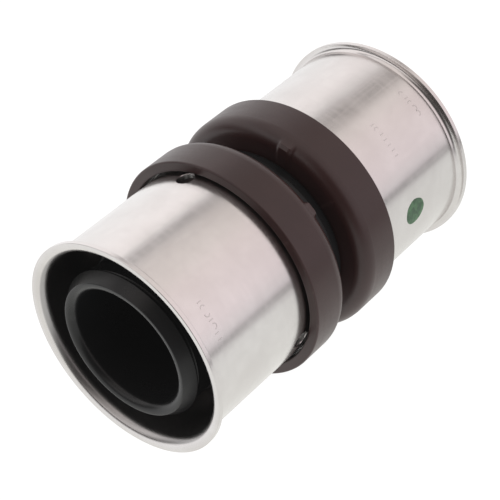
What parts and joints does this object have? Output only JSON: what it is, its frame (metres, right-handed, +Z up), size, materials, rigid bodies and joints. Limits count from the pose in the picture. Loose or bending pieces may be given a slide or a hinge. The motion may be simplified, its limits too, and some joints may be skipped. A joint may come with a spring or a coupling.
{
  "type": "press-fit pipe coupling",
  "caption": "Straight press-fit coupling for multilayer pipe: a double nipple with O-rings, flared steel press sleeves and moulded retaining rings that turn on it.",
  "frame": {"origin": "on the common axis, half way between the two mouths", "axes": "+X along the common axis from the front mouth to the rear mouth, +Z up with the coupling lying on its two retaining rings"},
  "size_m": [0.064, 0.0388, 0.0388],
  "materials": {
    "black_insert": "moulded black PPSU, satin",
    "stainless_sleeve": "drawn stainless steel, satin bright",
    "brown_ring": "moulded dark brown plastic, fine matte",
    "black_rubber": "EPDM, smooth with a film of grease"
  },
  "bodies": {
    "insert": {"insert_body": "black_insert", "front_inner_o_ring": "black_rubber", "front_outer_o_ring": "black_rubber", "rear_inner_o_ring": "black_rubber", "rear_outer_o_ring": "black_rubber"},
    "front_ring": {"front_retaining_ring": "brown_ring"},
    "rear_ring": {"rear_retaining_ring": "brown_ring"},
    "front_sleeve": {"front_press_sleeve": "stainless_sleeve"},
    "rear_sleeve": {"rear_press_sleeve": "stainless_sleeve"}
  },
  "joints": [
    {"name": "front_ring_turn", "type": "hinge", "parent": "insert", "child": "front_ring", "pos_m": [-0.006, 0, 0], "axis": [1, 0, 0], "continuous": true},
    {"name": "rear_ring_turn", "type": "hinge", "parent": "insert", "child": "rear_ring", "pos_m": [0.006, 0, 0], "axis": [1, 0, 0], "continuous": true},
    {"name": "front_sleeve_turn", "type": "hinge", "parent": "front_ring", "child": "front_sleeve", "pos_m": [-0.008, 0, 0], "axis": [1, 0, 0], "continuous": true},
    {"name": "rear_sleeve_turn", "type": "hinge", "parent": "rear_ring", "child": "rear_sleeve", "pos_m": [0.008, 0, 0], "axis": [1, 0, 0], "continuous": true}
  ]
}
